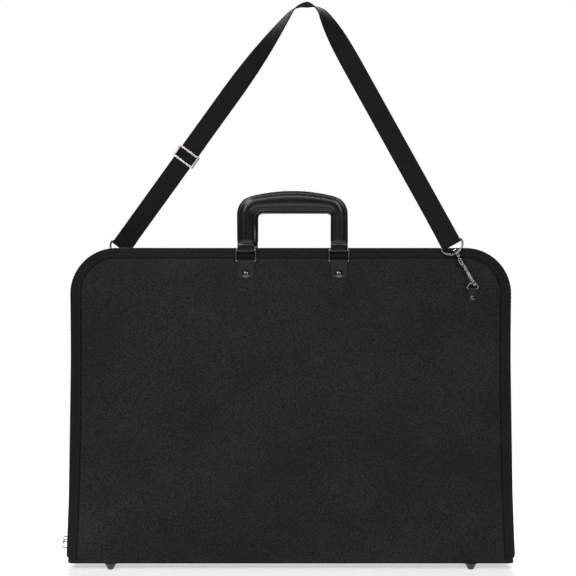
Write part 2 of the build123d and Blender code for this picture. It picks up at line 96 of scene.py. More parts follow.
def ramp(tree, value, stops):
    """A colour ramp from (place, grey or colour) stops."""
    made = node(tree, "ShaderNodeValToRGB", Fac=value)
    band = made.color_ramp
    while len(band.elements) < len(stops):
        band.elements.new(0.5)
    for element, (place, colour) in zip(band.elements, stops):
        element.position = place
        element.color = (*colour, 1) if isinstance(colour, tuple) else (colour, colour, colour, 1)
    return made.outputs["Color"]


def spread(tree, value, low, high):
    """A 0 to 1 value moved to another range."""
    return node(tree, "ShaderNodeMapRange", i0=value, i3=low, i4=high).outputs[0]


def calc(tree, operation, *values):
    """One Math node's result."""
    inputs = {f"i{k}": value for k, value in enumerate(values)}
    return node(tree, "ShaderNodeMath", {"operation": operation}, **inputs).outputs[0]


def jostled(tree, place, noise, size):
    """Coordinates pushed about by a noise, by up to a size in metres."""
    push = node(tree, "ShaderNodeVectorMath", {"operation": "SCALE"}, i0=noise, Scale=size)
    return node(tree, "ShaderNodeVectorMath", {"operation": "ADD"}, i0=place, i1=push.outputs[0]).outputs[0]


def feed(tree, shader, name, socket):
    """Links a socket to one of the shader's inputs."""
    tree.links.new(socket, shader.inputs[name])


def bump(tree, shader, height, depth, strength=1.0):
    """Relief of a depth in millimetres."""
    made = node(tree, "ShaderNodeBump", Strength=strength, Distance=depth * MM, Height=height)
    tree.links.new(made.outputs["Normal"], shader.inputs["Normal"])


def leather(name, dark, light, grain, depth, rough, specular=0.4):
    """Pebbled leatherette: small raised cells, shade painted in the creases, slow colour changes."""
    material, tree, shader = start_material(name, specular=specular)
    place = node(tree, "ShaderNodeTexCoord").outputs["Object"]
    drift = node(tree, "ShaderNodeTexNoise", Vector=place, Scale=grain * 0.45, Detail=3.0)
    moved = jostled(tree, place, drift.outputs["Color"], 0.0016)
    cells = node(tree, "ShaderNodeTexVoronoi", {"feature": "SMOOTH_F1"}, Vector=moved, Scale=grain)
    fine = node(tree, "ShaderNodeTexNoise", Vector=place, Scale=grain * 1.3, Detail=4.0, Roughness=0.6)
    pebbles = calc(tree, "MULTIPLY_ADD", cells.outputs["Distance"], -1.0, fine.outputs["Fac"])
    bump(tree, shader, pebbles, depth)
    slow = node(tree, "ShaderNodeTexNoise", Vector=place, Scale=9.0, Detail=4.0, Roughness=0.65)
    patches = calc(tree, "MULTIPLY_ADD", slow.outputs["Fac"], 0.5, 0.0)
    # painted shade: the colour darkens where the pebbles are low, in the creases; the slow patches vary at
    # random.
    tone_with_painted_shade = calc(tree, "MULTIPLY_ADD", pebbles, 0.6, patches)
    feed(tree, shader, "Base Color", ramp(tree, tone_with_painted_shade, [(0.2, dark), (0.5, light)]))
    feed(tree, shader, "Roughness", spread(tree, fine.outputs["Fac"], rough - 0.1, rough + 0.12))
    return material


def woven(name, dark, light, warp, weft, depth, rough, axes="UV", sheen=0.0):
    """A plain weave with its warp and weft pitches in millimetres; painted shade darkens the gaps."""
    material, tree, shader = start_material(name, rough=rough, specular=0.18)
    shader.inputs["Sheen Weight"].default_value = sheen
    shader.inputs["Sheen Roughness"].default_value = 0.5
    place = node(tree, "ShaderNodeTexCoord").outputs[axes]
    jitter = node(tree, "ShaderNodeTexNoise", Vector=place, Scale=220.0, Detail=2.0)
    moved = jostled(tree, place, jitter.outputs["Color"], 0.0004)
    upright = "Z" if axes == "Object" else "Y"
    waves = []
    for direction, pitch in (("X", warp), (upright, weft)):
        bands = {"bands_direction": direction}
        scale = math.pi / (10 * pitch * MM)
        waves.append(node(tree, "ShaderNodeTexWave", bands, Vector=moved, Scale=scale).outputs["Fac"])
    threads = calc(tree, "MULTIPLY", *waves)
    bump(tree, shader, threads, depth)
    slow = node(tree, "ShaderNodeTexNoise", Vector=place, Scale=35.0, Detail=5.0, Roughness=0.7)
    # painted shade: the colour darkens where the threads are low, in the gaps of the weave; the slow noise
    # varies at random.
    tone_with_painted_shade = calc(tree, "MULTIPLY_ADD", threads, 0.6, slow.outputs["Fac"])
    feed(tree, shader, "Base Color", ramp(tree, tone_with_painted_shade, [(0.25, dark), (1.1 / 1.2, light)]))
    return material


def moulded(name, dark, light, rough, specular, grain, depth):
    """Moulded plastic with a fine skin texture and duller rubbed patches."""
    material, tree, shader = start_material(name, specular=specular)
    place = node(tree, "ShaderNodeTexCoord").outputs["Object"]
    skin = node(tree, "ShaderNodeTexNoise", Vector=place, Scale=grain, Detail=3.0, Roughness=0.6)
    bump(tree, shader, skin.outputs["Fac"], depth)
    rubbed = node(tree, "ShaderNodeTexNoise", Vector=place, Scale=60.0, Detail=6.0, Roughness=0.7)
    feed(tree, shader, "Base Color", ramp(tree, rubbed.outputs["Fac"], [(0.35, dark), (0.7, light)]))
    feed(tree, shader, "Roughness", spread(tree, rubbed.outputs["Fac"], rough - 0.06, rough + 0.1))
    return material


def plated(name, dark, light, rough):
    """Nickel plate, darker in patches, with fine scuffs."""
    material, tree, shader = start_material(name, metal=1.0)
    place = node(tree, "ShaderNodeTexCoord").outputs["Object"]
    slow = node(tree, "ShaderNodeTexNoise", Vector=place, Scale=130.0, Detail=5.0, Roughness=0.7)
    scuffs = node(tree, "ShaderNodeTexNoise", Vector=place, Scale=900.0, Detail=4.0, Roughness=0.7)
    feed(tree, shader, "Base Color", ramp(tree, slow.outputs["Fac"], [(0.3, dark), (0.7, light)]))
    feed(tree, shader, "Roughness", spread(tree, scuffs.outputs["Fac"], rough - 0.08, rough + 0.16))
    bump(tree, shader, scuffs.outputs["Fac"], 0.003, 0.3)
    return material


def chipboard(name):
    """Grey pressed board with darker fibres."""
    material, tree, shader = start_material(name, rough=0.9, specular=0.2)
    place = node(tree, "ShaderNodeTexCoord").outputs["Object"]
    fibre = node(tree, "ShaderNodeTexNoise", Vector=place, Scale=700.0, Detail=6.0, Roughness=0.75)
    browns = [(0.3, (0.09, 0.075, 0.06)), (0.7, (0.24, 0.2, 0.16))]
    feed(tree, shader, "Base Color", ramp(tree, fibre.outputs["Fac"], browns))
    bump(tree, shader, fibre.outputs["Fac"], 0.1)
    return material


PANEL = leather("panel_leatherette", 0.0004, 0.016, 400.0, 0.6, 0.5, 0.2)
EDGING = leather("binding_leatherette", 0.001, 0.008, 700.0, 0.25, 0.5, 0.15)
TAB = leather("tab_leather", 0.004, 0.012, 700.0, 0.2, 0.46, 0.32)
WEBBING = woven("strap_webbing_weave", 0.003, 0.011, 1.25, 1.0, 0.3, 0.75, "UV", 0.02)
TAPE = woven("zip_tape_weave", 0.005, 0.015, 0.7, 0.7, 0.1, 0.8, "Object")
LINING = woven("lining_weave", 0.008, 0.022, 0.6, 0.6, 0.08, 0.7, "Object")
THREAD = woven("sewing_thread", 0.01, 0.03, 0.4, 0.4, 0.08, 0.6, "Object")
COIL = moulded("zip_coil_nylon", 0.006, 0.016, 0.4, 0.5, 900.0, 0.03)
GRIP = moulded("grip_plastic_moulded", 0.002, 0.005, 0.24, 0.5, 1300.0, 0.03)
FOOT = moulded("foot_plastic_moulded", 0.008, 0.02, 0.2, 0.6, 600.0, 0.02)
NICKEL = plated("black_nickel_plate", (0.12, 0.118, 0.115), (0.32, 0.315, 0.305), 0.2)
RIVET = plated("rivet_black_nickel", (0.06, 0.06, 0.06), (0.14, 0.14, 0.14), 0.13)
BOARD = chipboard("grey_board")


# ---- meshes ----


def piece(name, points, faces, material, uvs=None):
    """A new smooth mesh piece, from points in millimetres."""
    mesh = bpy.data.meshes.new(name)
    mesh.from_pydata([(x * MM, y * MM, z * MM) for x, y, z in points], [], faces)
    mesh.materials.append(material)
    if uvs:
        layer = mesh.uv_layers.new(name="UVMap")
        for loop in mesh.loops:
            u, v = uvs[loop.vertex_index]
            layer.data[loop.index].uv = (u * MM, v * MM)
    work = bmesh.new()
    work.from_mesh(mesh)
    bmesh.ops.recalc_face_normals(work, faces=work.faces)
    work.to_mesh(mesh)
    work.free()
    mesh.polygons.foreach_set("use_smooth", [True] * len(mesh.polygons))
    made = bpy.data.objects.new(name, mesh)
    bpy.context.scene.collection.objects.link(made)
    return made


class Build:
    """Points and faces gathered for one piece."""

    def __init__(self):
        self.points = []
        self.faces = []
        self.uvs = []

    def skin(self, rows, round_rows=False, capped=False):
        """A grid of faces over rows of equally many points, each row closed on itself if round."""
        start = len(self.points)
        count = len(rows[0])
        along = 0.0
        for index, row in enumerate(rows):
            if index:
                along += math.dist(rows[index - 1][0], row[0])
            across = 0.0
            for j, point in enumerate(row):
                if j:
                    across += math.dist(row[j - 1], point)
                self.points.append(tuple(point))
                self.uvs.append((across, along))
        last = count if round_rows else count - 1
        for i in range(len(rows) - 1):
            for j in range(last):
                a = start + i * count + j
                b = start + i * count + (j + 1) % count
                self.faces.append((a, b, b + count, a + count))
        if capped:
            self.faces.append(tuple(range(start, start + count)))
            end = len(self.points) - count
            self.faces.append(tuple(range(end, end + count))[::-1])

    def stitch(self, middle, run, out, length, radius):
        """One stitch of thread, a short rounded bar that dips at both ends."""
        run = Vector(run).normalized()
        out = Vector(out).normalized()
        aside = run.cross(out)
        rows = []
        for step, size in [(-0.5, 0.3), (-0.36, 0.9), (0.0, 1.0), (0.36, 0.9), (0.5, 0.3)]:
            heart = Vector(middle) + run * (step * length) - out * (radius * 1.6 * abs(step * 2) ** 3)
            turns = [math.tau * k / 6 for k in range(6)]
            spokes = [out * math.cos(a) + aside * math.sin(a) for a in turns]
            rows.append([heart + spoke * (radius * size) for spoke in spokes])
        self.skin(rows, round_rows=True, capped=True)

    def placed(self, side):
        """The same points on the front or, turned half round, on the rear."""
        return [(side * x, side * y, z) for x, y, z in self.points]

    def make(self, name, material, side=1):
        """The finished piece."""
        return piece(name, self.placed(side), self.faces, material, self.uvs)


# ---- the case's outline ----


def half_width(z):
    """Half the case's width at a height below the round corners, pulled in a little halfway up."""
    up = (z - LOW) / (SIDE_TOP - LOW)
    return HALF_LOW - (HALF_LOW - HALF_TOP) * up - 4 * WAIST * up * (1 - up)


def end_round(z):
    """How far the outer edge is rounded off near the low corners."""
    return 8 - math.sqrt(64 - (24 - z) ** 2) if z < 24 else 0.0


def edge_path(step, low=LOW):
    """The case's edge from its low right end to its low left: place, normal, rounding, length."""
    right = []
    count = int((SIDE_TOP - low) / step)
    for i in range(count):
        z = low + (SIDE_TOP - low) * i / count
        slope = half_width(z + 0.5) - half_width(z - 0.5)
        size = math.hypot(1, slope)
        right.append((half_width(z), z, 1 / size, -slope / size, end_round(z)))
    count = int(CORNER * math.pi / 2 / step)
    for i in range(count):
        a = math.pi / 2 * i / count
        x = HALF_TOP - CORNER + CORNER * math.cos(a)
        right.append((x, SIDE_TOP + CORNER * math.sin(a), math.cos(a), math.sin(a), 0.0))
    count = int((HALF_TOP - CORNER) / step)
    for i in range(count):
        right.append(((HALF_TOP - CORNER) * (1 - i / count), CASE_TOP, 0.0, 1.0, 0.0))
    left = [(-x, z, -nx, nz, r) for x, z, nx, nz, r in reversed(right)]
    path = right + [(0.0, CASE_TOP, 0.0, 1.0, 0.0)] + left
    lengths = [0.0]
    for near, far in zip(path, path[1:]):
        lengths.append(lengths[-1] + math.dist(near[:2], far[:2]))
    return [(*spot, run) for spot, run in zip(path, lengths)]


def from_edge(spot, inset, depth):
    """A point at an inset from the outside edge, and a depth in front of the middle plane."""
    x, z, nx, nz, rounding = spot[:5]
    inwards = inset + rounding * max(0.0, 1 - inset / BAND)
    return (x - nx * inwards, -depth, z - nz * inwards)


# ---- covers ----


def panel_edge(x, z):
    """How far a point of the panel is inside the binding's inner edge."""
    if z > SIDE_TOP:
        if abs(x) > HALF_TOP - CORNER:
            return CORNER - BAND - math.hypot(abs(x) - HALF_TOP + CORNER, z - SIDE_TOP)
        return CASE_TOP - BAND - z
    return min(half_width(z) - BAND - abs(x), CASE_TOP - BAND - z)


def panel_depth(x, z, creased):
    """The panel's surface: rolled down at its edges, a little full, gently uneven."""
    inside = max(panel_edge(x, z), 0.0)
    depth = FACE - 1.0 * math.exp(-inside / 0.8) + 0.4 * (1 - math.exp(-inside / 10))
    depth -= 1.0 * math.exp(-(z - LOW) / 0.7)
    depth += 0.12 * math.sin(x / 61 + z / 97) * math.sin(z / 53 - x / 140)
    if creased:
        along = ((x + 313) * 13 + (32 - z) * 10) / 16.4
        across = ((x + 313) * 10 - (32 - z) * 13) / 16.4
        fade = max(0.0, 1 - abs(along - 8) / 11)
        depth -= 0.55 * fade * math.exp(-((across / 1.3) ** 2))
        depth += 0.3 * fade * math.exp(-(((across + 2.6) / 1.6) ** 2))
    return depth


def make_panel(prefix, side):
    """The leatherette face of a cover, inside its binding."""
    heights = [LOW, 16.3, 16.8, 17.6] + [19 + 1.5 * i for i in range(18)]
    heights += [48 + 6.0 * i for i in range(60)]
    heights += [SIDE_TOP + (CORNER - BAND) * math.sin(math.pi / 2 * i / 26) for i in range(26)]
    heights += [CASE_TOP - BAND - 1.0, CASE_TOP - BAND - 0.4, CASE_TOP - BAND]
    heights = sorted(set(heights))
    insets = [0.0, 0.4, 0.9, 1.6] + [2.6 + 1.5 * i for i in range(16)]
    rows = []
    for z in heights:
        if z > SIDE_TOP:
            reach = CORNER - BAND
            half = HALF_TOP - CORNER + math.sqrt(max(reach**2 - (z - SIDE_TOP) ** 2, 0.0))
        else:
            half = half_width(z) - BAND
        middle = half - insets[-1]
        xs = [-half + inset for inset in insets]
        xs += [middle * (i / 45 - 1) for i in range(1, 90)]
        xs += [half - inset for inset in reversed(insets)]
        rows.append([(x, -panel_depth(x, z, side > 0), z) for x in xs])
    work = Build()
    work.skin(rows)
    return work.make(f"{prefix}_panel", PANEL, side)


BINDING_PROFILE = [
    (14.5, 21.2), (14.3, 22.3), (13.6, 22.8), (12.2, 23.0), (9.6, 23.0), (7.7, 22.95),
    (7.1, 22.72), (6.5, 22.95), (4.8, 23.05), (3.3, 22.95), (2.7, 22.7), (2.1, 22.9),
    (0.8, 22.8), (-0.2, 22.3), (-0.8, 21.4), (-0.9, 20.0), (-0.8, 18.0), (-0.6, 16.7),
    (-0.1, 16.1), (0.3, 16.2),
]


def make_binding(prefix, side):
    """The folded tape round a cover's edge, pulled in by its stitches."""
    path = edge_path(1.4)
    work = Build()
    rows = []
    for spot in path:
        run = spot[5]
        pull = 0.4 * (0.62 - abs(math.sin(math.pi * run / STITCH)) ** 0.7)
        corner = abs(spot[2]) * abs(spot[3]) * 2
        pleat = 0.16 * corner * math.sin(run / 1.9) * math.sin(run / 5.3)
        row = []
        for inset, depth in BINDING_PROFILE:
            out = pull if inset < 1.0 and depth > 19 else 0.0
            lift = pleat if 3 < inset < 14 else 0.0
            row.append(from_edge(spot, inset + out, depth + lift))
        rows.append(row)
    work.skin(rows)
    band = work.make(f"{prefix}_binding_tape", EDGING, side)
    thread = Build()
    fine = edge_path(0.7)
    goal = STITCH / 2
    for near, far in zip(fine, fine[1:]):
        if near[5] <= goal < far[5]:
            middle = from_edge(near, 2.7, 22.88)
            ahead = from_edge(far, 2.7, 22.88)
            run = Vector(ahead) - Vector(middle)
            thread.stitch(middle, run, (0, -1, 0), 3.6, 0.38)
            goal += STITCH
    stitches = thread.make(f"{prefix}_binding_stitches", THREAD, side)
    return band, stitches


def make_wall(prefix, side):
    """The side wall of one cover, from under its binding to the zip tape."""
    profile = [
        (1.4, 21.0), (0.1, 20.9), (0.0, 18.0), (0.0, 16.0), (0.15, 13.0), (0.4, 10.5),
        (0.15, 8.0), (-0.15, 6.6), (-0.1, 5.6), (0.25, 5.1), (1.3, 5.0), (1.4, 9.0), (1.4, 16.0),
    ]
    rows = []
    for spot in edge_path(4.0):
        run = spot[5]
        sag = 0.2 * math.sin(run / 31) + 0.12 * math.sin(run / 12.5 + 1)
        row = []
        for inset, depth in profile:
            soft = sag * max(0.0, 1 - abs(depth - 11) / 5) if inset < 1.2 else 0.0
            row.append(from_edge(spot, inset + soft + 0.02, depth))
        rows.append(row)
    work = Build()
    work.skin(rows, round_rows=True, capped=True)
    return work.make(f"{prefix}_side_wall", EDGING, side)


def make_coil(prefix, side):
    """One half of the coil zip: a flattened coil of nylon along the edge."""
    path = edge_path(0.4, 25.0)
    rows = []
    for spot in path:
        turn = math.tau * spot[5] / 2.4
        inset = 0.6 + 0.95 * math.cos(turn)
        depth = 1.25 + 0.36 * math.sin(turn)
        heart = Vector(from_edge((*spot[:4], 0.0), inset, depth))
        out = Vector((spot[2], 0, spot[3]))
        rows.append([heart + out * (0.34 * math.cos(a)) + Vector((0, 0.34 * math.sin(a), 0))
                     for a in (0.8, 2.4, 3.9, 5.5)])
    work = Build()
    work.skin(rows, round_rows=True, capped=True)
    return work.make(f"{prefix}_zip_coil", COIL, side)


def make_fold_strip(prefix, side):
    """The leatherette across the hinge, dipping into the fold."""
    profile = [(21.2, 14.4), (21.9, 14.8), (21.75, 15.3), (21.45, 15.8)]
    profile += [(21.75, 16.3), (21.9, 16.9), (21.2, 17.4)]
    rows = []
    for i in range(131):
        x = -318 + 636 * i / 130
        wave = 0.12 * math.sin(x / 17) + 0.08 * math.sin(x / 7.3)
        rows.append([(x, -depth - wave * 0.3, z) for depth, z in profile])
    work = Build()
    work.skin(rows)
    strip = work.make(f"{prefix}_hinge_fold", PANEL, side)
    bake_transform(strip)
    return strip


# ---- spine ----


def tray_ring(inset, z, waviness):
    """One ring of points round the spine, with rounded ends."""
    radius = max(8 - inset, 0.4)
    half_x = 328 - inset
    half_y = 22 - inset
    ring = []
    for quarter in range(4):
        cx = (half_x - radius) * (1 if quarter in (0, 3) else -1)
        cy = (half_y - radius) * (1 if quarter in (0, 1) else -1)
        for k in range(7):
            a = math.pi / 2 * (quarter + k / 6)
            ring.append((cx + radius * math.cos(a), cy + radius * math.sin(a), z))
        if quarter in (0, 2):
            start = ring[-1]
            for k in range(1, 90):
                ring.append((start[0] * (1 - 2 * k / 90), start[1], z))
    wavy = []
    for x, y, height in ring:
        wave = waviness * (math.sin(x / 19) + 0.6 * math.sin(x / 7.7 + 2)) * (1 if abs(y) > 12 else 0)
        wavy.append((x, y + math.copysign(wave * 0.3, y), height + wave * 0.35))
    return wavy


def make_spine():
    """The leatherette tray round the spine, with a soft lip along the hinge folds."""
    profile = [
        (1.6, 14.2, 0.3), (1.5, 15.1, 0.4), (1.1, 15.4, 0.4), (0.6, 15.2, 0.5), (0.45, 14.6, 0.5),
        (0.4, 13.4, 0.5), (0.2, 12.0, 0.5), (0.3, 11.0, 0.4), (0.9, 10.1, 0.2), (2.0, 9.6, 0.0),
        (4.0, 9.5, 0.0), (9.0, 9.5, 0.0), (15.0, 9.5, 0.0), (21.5, 9.5, 0.0),
    ]
    work = Build()
    work.skin([tray_ring(inset, z, wave) for inset, z, wave in profile], round_rows=True)
    end = len(work.points)
    count = len(tray_ring(0.0, 0.0, 0.0))
    work.faces.append(tuple(range(end - count, end)))
    return work.make("spine_cover", PANEL)


# ---- tabs ----


def strip_section(middle, wide, thin, width, thick, ribbed=False):
    """The closed outline of a flat strip, round-edged, with thicker selvedges if ribbed."""
    half = width / 2
    spots = [-1, -0.985, -0.95, -0.91, -0.87, -0.6, -0.3, 0, 0.3, 0.6, 0.87, 0.91, 0.95, 0.985, 1]
    sizes = [0.25, 0.75, 1.0, 0.98, 0.78, 0.86, 0.9, 0.92] if ribbed else [0.3, 0.75, 0.95, 1, 1, 1, 1, 1]
    sizes = sizes + sizes[-2::-1]
    face = [middle + wide * (half * u) + thin * (thick / 2 * f) for u, f in zip(spots, sizes)]
    back = [middle + wide * (half * u) - thin * (thick / 2 * f) for u, f in zip(spots, sizes)]
    return face + back[::-1]


def make_tab(name, body, x, width, low, axis, bore, thick, side):
    """A leather strip folded over a ring's bar, both ends sewn and riveted to the cover."""
    axis_y, axis_z = axis
    radius = bore + thick / 2
    over = FACE + thick * 1.5
    under = FACE + thick * 0.5
    route = [(over, low + s) for s in (0.3, 1.2, 2.4, 4.0, 6.0)]
    route += [(over, axis_z - 11)]
    route += [(axis_y + radius - 0.9, axis_z - 5), (axis_y + radius - 0.2, axis_z - 2)]
    route += [(axis_y + radius * math.cos(a), axis_z + radius * math.sin(a))
              for a in [math.pi * k / 10 for k in range(11)]]
    route += [(under, axis_z - 4), (under, low + 6), (under, low + 0.6)]
    rows = []
    for index, (y, z) in enumerate(route):
        before = route[max(index - 1, 0)]
        after = route[min(index + 1, len(route) - 1)]
        run = Vector((0, -(after[0] - before[0]), after[1] - before[1])).normalized()
        above = max(z - low, 0.0)
        corner = width * 0.3
        narrow = corner - math.sqrt(max(corner**2 - max(corner - above, 0.0) ** 2, 0.0))
        middle = Vector((x, -y, z))
        across = Vector((1, 0, 0))
        rows.append(strip_section(middle, across, run.cross(across), width - 2 * narrow, thick))
    work = Build()
    work.skin(rows, round_rows=True, capped=True)
    tab = work.make(name, TAB, side)
    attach(tab, body)
    thread = Build()
    edge = width / 2 - 1.5
    count = int((axis_z - low - 12) / 2.6)
    for column in (-edge, edge):
        for k in range(count):
            middle = (x + column, -FACE - thick * 2 - 0.05, low + 6 + 2.6 * k)
            thread.stitch(middle, (0, 0, 1), (0, -1, 0), 1.8, 0.22)
    stitches = thread.make(f"{name}_stitches", THREAD, side)
    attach(stitches, body)
    return tab


# ---- grips ----

EYE_RISE = 17.1  # from the loops' axis up to the middle of a grip's eye
EYE_RADIUS = 4.2
FLAP_ENDS = [(-12, 0.82), (-11.6, 0.95), (-10.5, 1.0), (10.5, 1.0), (11.6, 0.95), (12, 0.82)]
GRIP_HALF_THICK = 7.5
GRIP_LEG_END = 478.0
GRIP_PROFILE = [
    (-1.0, 0.0), (-0.97, 0.26), (-0.9, 0.47), (-0.8, 0.64), (-0.71, 0.74), (-0.65, 0.75),
    (-0.58, 0.73), (-0.48, 0.82), (-0.34, 0.92), (-0.18, 0.98), (0.0, 1.0), (0.18, 0.985),
    (0.36, 0.93), (0.52, 0.84), (0.64, 0.73), (0.71, 0.66), (0.78, 0.67), (0.84, 0.62),
    (0.9, 0.5), (0.96, 0.3), (1.0, 0.0),
]


def grip_stations():
    """Inner and outer edge points round the grip, from one leg's end to the other's, upright."""
    half = []
    for z in (GRIP_LEG_END, 478.6, 480.0, 482.5, 486.0, 490.0, 497.0, 504.0, 512.0, 518.0):
        half.append(((55.5, z), (80.5, z)))
    for k in range(1, 13):
        outer = math.radians(78 * k / 12)
        inner = math.radians(90 * k / 12)
        half.append((
            (48.5 + 7 * math.cos(inner), 520 + 7 * math.sin(inner)),
            (51.5 + 29 * math.cos(outer), 520.7 + 29 * math.sin(outer)),
        ))
    for k in range(1, 13):
        x = 57.5 * (1 - k / 12)
        half.append(((48.5 * (1 - k / 12), 527.0), (x, 556 - 13.5 * (x / 80.5) ** 2)))
    other = [((-a[0], a[1]), (-b[0], b[1])) for a, b in reversed(half[:-1])]
    return half + other


def leaned(point, handle_x):
    """A point of the upright handle, leaning outward about the loops' lower bars."""
    x, y, z = point
    up = z - LOOP_AXIS[1]
    back = y * math.cos(LEAN) - up * math.sin(LEAN)
    return (x + handle_x, back - LOOP_AXIS[0], y * math.sin(LEAN) + up * math.cos(LEAN) + LOOP_AXIS[1])


def make_grip(prefix, side, handle_x):
    """The moulded grip with its ridges, and the two flaps that hold the loops."""
    work = Build()
    rows = []
    for inner, outer in grip_stations():
        near = min(inner[1], outer[1]) - GRIP_LEG_END
        ease = min(1.0, near / 9)
        full = 0.55 + 0.45 * math.sqrt(max(1 - (1 - ease) ** 2, 0.0))
        slim = 0.84 + 0.16 * math.sqrt(max(1 - (1 - ease) ** 2, 0.0))
        cx, cz = (inner[0] + outer[0]) / 2, (inner[1] + outer[1]) / 2
        hx, hz = (outer[0] - inner[0]) / 2 * slim, (outer[1] - inner[1]) / 2 * slim
        front = [(cx + hx * a, -GRIP_HALF_THICK * f * full, cz + hz * a) for a, f in GRIP_PROFILE]
        back = [(x, -y, z) for x, y, z in front[1:-1]]
        rows.append([leaned(point, handle_x) for point in front + back[::-1]])
    work.skin(rows, round_rows=True, capped=True)
    eye_z = LOOP_AXIS[1] + EYE_RISE
    turns = [math.pi / 2 * k / 6 for k in range(7)]
    outline = [(EYE_RADIUS * math.sin(a), eye_z - EYE_RADIUS * math.cos(a)) for a in turns]
    outline += [(EYE_RADIUS, 476.0), (4.0, 481.0)]
    outline = [(-y, z) for y, z in outline[:0:-1]] + outline
    for x in (-LOOP_SPREAD, LOOP_SPREAD):
        flap = []
        for spot, size in FLAP_ENDS:
            shrunk = [(x + spot, y * size, eye_z + (z - eye_z) * size) for y, z in outline]
            flap.append([leaned(point, handle_x) for point in shrunk])
        work.skin(flap, round_rows=True, capped=True)
    grip = work.make(f"{prefix}_grip", GRIP, side)
    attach(grip, f"{prefix}_handle")
    return grip


# ---- strap ----

APEX = Vector((27.0, 0, 860.0))
APEX_RADIUS = 31.0
BARS = {"front": Vector((233.4, -29.0, 478.0)), "rear": Vector((-256.0, 29.0, 476.0))}
WEB_WIDTH = 29.6
WEB_THICK = 1.8
FOLD_OFFSET = 2.65
FRONT_TWIST = 130.0
REAR_TWIST = 175.0
FOLDS = {"front": 48.0, "rear": 196.0}


def strap_plan():
    """The strap's two straight legs and the round corner between them, seen from the front."""
    legs = [Vector((end.x, 0, end.z)) - APEX for end in BARS.values()]
    turn = math.pi - legs[0].angle(legs[1])
    tangent = APEX_RADIUS * math.tan(turn / 2)
    runs = [leg.length - tangent for leg in legs]
    total = runs[0] + APEX_RADIUS * turn + runs[1]
    return [leg.normalized() for leg in legs], runs, tangent, turn, total


def leg_frame(which):
    """A leg's direction from its ring to the top, and its outward and front normals."""
    directions, runs, tangent, turn, total = strap_plan()
    side = SIDES[which]
    down = directions[0] if side > 0 else directions[1]
    crossing = side * (BARS["rear"].y - BARS["front"].y) / total
    rise = Vector((-down.x, crossing, -down.z)).normalized()
    out = Vector((-side * down.z, 0, side * down.x))
    return rise, out, out.cross(rise) * side


def strap_spot(s):
    """The webbing's middle at a length from its front end: place, heading and outward normal."""
    directions, runs, tangent, turn, total = strap_plan()
    arc = APEX_RADIUS * turn
    if s <= runs[0]:
        place = APEX + directions[0] * (tangent + runs[0] - s)
        heading = -directions[0]
    elif s >= runs[0] + arc:
        place = APEX + directions[1] * (tangent + s - runs[0] - arc)
        heading = directions[1]
    else:
        heart = APEX + (directions[0] + directions[1]).normalized() * (APEX_RADIUS / math.cos(turn / 2))
        spoke = APEX + directions[0] * tangent - heart
        a = (s - runs[0]) / APEX_RADIUS
        c, d = math.cos(a), math.sin(a)
        spoke = Vector((spoke.x * c - spoke.z * d, 0, spoke.x * d + spoke.z * c))
        place = heart + spoke
        heading = Vector((-spoke.z, 0, spoke.x)).normalized()
    share = s / total
    place.y = (BARS["front"].y - FOLD_OFFSET) * (1 - share) + (BARS["rear"].y - FOLD_OFFSET) * share
    return place, heading, Vector((heading.z, 0, -heading.x))


def make_webbing():
    """The strap's webbing, flat to the front on its legs and turned on edge over its top."""
    directions, runs, tangent, turn, total = strap_plan()
    top = runs[0] + APEX_RADIUS * turn / 2
    rows = []
    count = 300
    for i in range(count + 1):
        s = total * i / count
        place, heading, outward = strap_spot(s)
        if s < top:
            twist = math.radians(90 * max(0.0, 1 - (top - s) / FRONT_TWIST) ** 2)
        else:
            twist = math.radians(90 * max(0.0, 1 - (s - top) / REAR_TWIST) ** 1.25)
        wide = outward * math.cos(twist) + Vector((0, 1, 0)) * math.sin(twist)
        rows.append(strip_section(place, wide, heading.cross(wide), WEB_WIDTH, WEB_THICK, True))
    work = Build()
    work.skin(rows, round_rows=True, capped=True)
    strap = work.make("strap_band", WEBBING)
    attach(strap, "strap")
    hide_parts("strap_webbing")


def make_strap_fold(which):
    """The strap's end, round its ring's bar and back up behind itself, with its stitching."""
    rise, out, front = leg_frame(which)
    origin = BARS[which]
    route = []
    for k in range(9):
        a = math.pi * k / 8
        route.append((-FOLD_OFFSET * math.sin(a), FOLD_OFFSET * math.cos(a)))
    route += [(6, -2.5), (12, -1.9), (18, -1.0), (24, 0.0), (30, 0.5), (38, 0.6)]
    length = FOLDS[which]
    count = int((length - 44) / 8)
    route += [(44 + (length - 44) * k / max(count, 1), 0.6) for k in range(count + 1)]
    rows = []
    for index, (along, ahead) in enumerate(route):
        before = route[max(index - 1, 0)]
        after = route[min(index + 1, len(route) - 1)]
        run = (rise * (after[0] - before[0]) + front * (after[1] - before[1])).normalized()
        middle = origin + rise * along + front * ahead
        rows.append(strip_section(middle, out, run.cross(out), WEB_WIDTH - 0.2, WEB_THICK, True))
    work = Build()
    work.skin(rows, round_rows=True, capped=True)
    fold = work.make(f"strap_{which}_turned_end", WEBBING)
    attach(fold, "strap")
    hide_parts(f"strap_{which}_fold")
    thread = Build()
    for along in (9.0, 12.5, 33.0, 36.5):
        for k in range(8):
            aside = -WEB_WIDTH / 2 + 3.4 + (WEB_WIDTH - 6.8) * k / 7
            middle = origin + rise * along + front * (FOLD_OFFSET + 0.92) + out * aside
            thread.stitch(middle, out, front, 2.6, 0.3)
    stitches = thread.make(f"strap_{which}_stitches", THREAD)
    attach(stitches, "strap")


# ---- put together ----


def dress_nodes():
    """Materials for the CAD pieces that show as they are."""
    finishes = [
        (BOARD, ["board"]),
        (LINING, ["lining"]),
        (TAPE, ["zip_tape"]),
        (FOOT, ["feet"]),
        (RIVET, ["rivet"]),
        (NICKEL, ["stops", "loops", "ring", "hook", "adjuster", "slider", "pull"]),
    ]
    for name, shown in nodes.items():
        for finish, words in finishes:
            if any(word in name for word in words):
                for material_slot in shown.material_slots:
                    material_slot.material = finish


